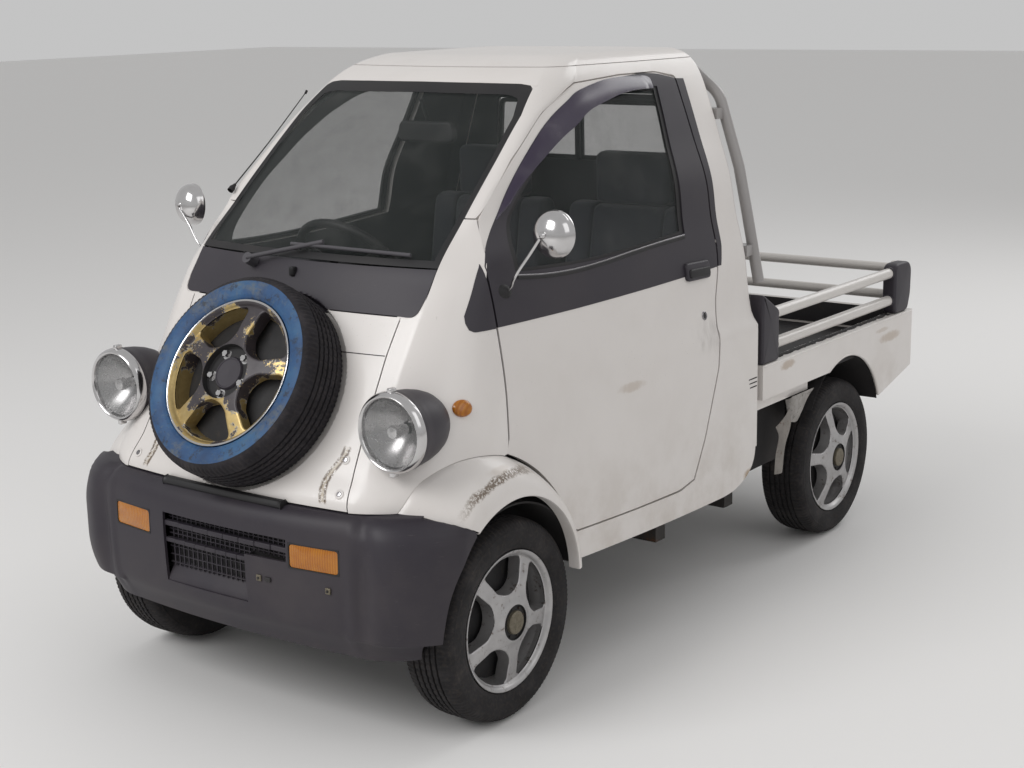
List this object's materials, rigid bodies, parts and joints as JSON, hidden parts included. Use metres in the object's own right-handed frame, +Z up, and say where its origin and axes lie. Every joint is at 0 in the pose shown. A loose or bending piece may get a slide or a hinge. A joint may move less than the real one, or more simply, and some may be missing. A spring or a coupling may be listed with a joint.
{
  "type": "kei pickup truck",
  "caption": "Small rounded two-seat pickup truck with a nose-mounted spare wheel, steerable front wheels, opening doors and a short open load bed with tube rails and a drop tailgate.",
  "frame": {"origin": "on the ground under the middle of the truck's outer box", "axes": "+Z up, the truck faces -Y, its left side is at +X"},
  "size_m": [1.424, 2.8442, 1.65],
  "materials": {
    "paint": "aged gloss white",
    "frame_black": "matte",
    "dark_plastic": "matte charcoal",
    "glass": "clear",
    "lens_clear": "fluted",
    "amber": "gloss",
    "red_lens": "gloss",
    "tyre": "matte",
    "alloy": "painted silver",
    "spare_alloy": "worn gold",
    "steel": "oily",
    "fabric": "woven",
    "mirror": "polished",
    "white_tube": "gloss white",
    "bed_sheet": "worn dark"
  },
  "bodies": {
    "body": {"chassis_frame": "frame_black", "floor_pan": "bed_sheet", "cab_frame": "paint", "roof_panel": "paint", "rear_panel": "paint", "nose_panel": "paint", "cowl_panel": "dark_plastic", "front_fenders": "paint", "front_bumper": "dark_plastic", "windscreen": "glass", "rear_window": "glass", "headlamp_shells": "dark_plastic", "headlamp_lenses": "lens_clear", "front_indicators": "amber", "wiper": "dark_plastic", "spare_tyre": "tyre", "spare_rim": "spare_alloy", "dashboard": "dark_plastic", "seat_box": "frame_black", "seats": "fabric", "steering_column": "frame_black", "engine_block": "steel", "bed_floor": "bed_sheet", "bed_sides": "paint", "bed_posts": "dark_plastic", "bed_tubes": "white_tube", "guard_hoop": "white_tube", "tail_panel": "paint", "tail_lamps": "red_lens", "rear_axle": "steel", "leaf_springs": "steel", "side_box": "dark_plastic"},
    "steering_wheel": {"steering_wheel": "dark_plastic"},
    "tailgate": {"tailgate": "white_tube"},
    "door_left": {"door_left": "paint", "door_glass_left": "glass", "mirror_left": "mirror"},
    "knuckle_left": {"knuckle_left": "steel"},
    "wheel_front_left": {"rim_front_left": "alloy", "tyre_front_left": "tyre"},
    "wheel_rear_left": {"rim_rear_left": "alloy", "tyre_rear_left": "tyre"},
    "door_right": {"door_right": "paint", "door_glass_right": "glass", "mirror_right": "mirror"},
    "knuckle_right": {"knuckle_right": "steel"},
    "wheel_front_right": {"rim_front_right": "alloy", "tyre_front_right": "tyre"},
    "wheel_rear_right": {"rim_rear_right": "alloy", "tyre_rear_right": "tyre"}
  },
  "joints": [
    {"name": "steering_wheel_turn", "type": "hinge", "parent": "body", "child": "steering_wheel", "pos_m": [-0.265, -0.53289, 1.01], "axis": [0, 0.788, 0.6156], "range_deg": [-512, 512]},
    {"name": "steer_left", "type": "hinge", "parent": "body", "child": "knuckle_left", "pos_m": [0.466, -0.93789, 0.264], "axis": [-0.1867, 0, 0.9824], "range_deg": [-32, 32]},
    {"name": "steer_right", "type": "hinge", "parent": "body", "child": "knuckle_right", "pos_m": [-0.466, -0.93789, 0.264], "axis": [0.1867, 0, 0.9824], "range_deg": [-32, 32]},
    {"name": "door_left_swing", "type": "hinge", "parent": "body", "child": "door_left", "pos_m": [0.552, -0.85289, 0.7], "axis": [0, 0, -1], "range_deg": [0, 65]},
    {"name": "door_right_swing", "type": "hinge", "parent": "body", "child": "door_right", "pos_m": [-0.552, -0.85289, 0.7], "axis": [0, 0, 1], "range_deg": [0, 65]},
    {"name": "tailgate_drop", "type": "hinge", "parent": "body", "child": "tailgate", "pos_m": [0, 1.40811, 0.616], "axis": [-1, 0, 0], "range_deg": [0, 90]},
    {"name": "wheel_front_left_spin", "type": "hinge", "parent": "knuckle_left", "child": "wheel_front_left", "pos_m": [0.534, -0.93789, 0.264], "axis": [1, 0, 0], "continuous": true},
    {"name": "wheel_front_right_spin", "type": "hinge", "parent": "knuckle_right", "child": "wheel_front_right", "pos_m": [-0.534, -0.93789, 0.264], "axis": [1, 0, 0], "continuous": true},
    {"name": "wheel_rear_left_spin", "type": "hinge", "parent": "body", "child": "wheel_rear_left", "pos_m": [0.534, 0.90211, 0.264], "axis": [1, 0, 0], "continuous": true},
    {"name": "wheel_rear_right_spin", "type": "hinge", "parent": "body", "child": "wheel_rear_right", "pos_m": [-0.534, 0.90211, 0.264], "axis": [1, 0, 0], "continuous": true}
  ],
  "couplings": [
    {"joint": "steer_left", "follows": "steering_wheel_turn", "ratio": 0.0625},
    {"joint": "steer_right", "follows": "steering_wheel_turn", "ratio": 0.0625}
  ]
}
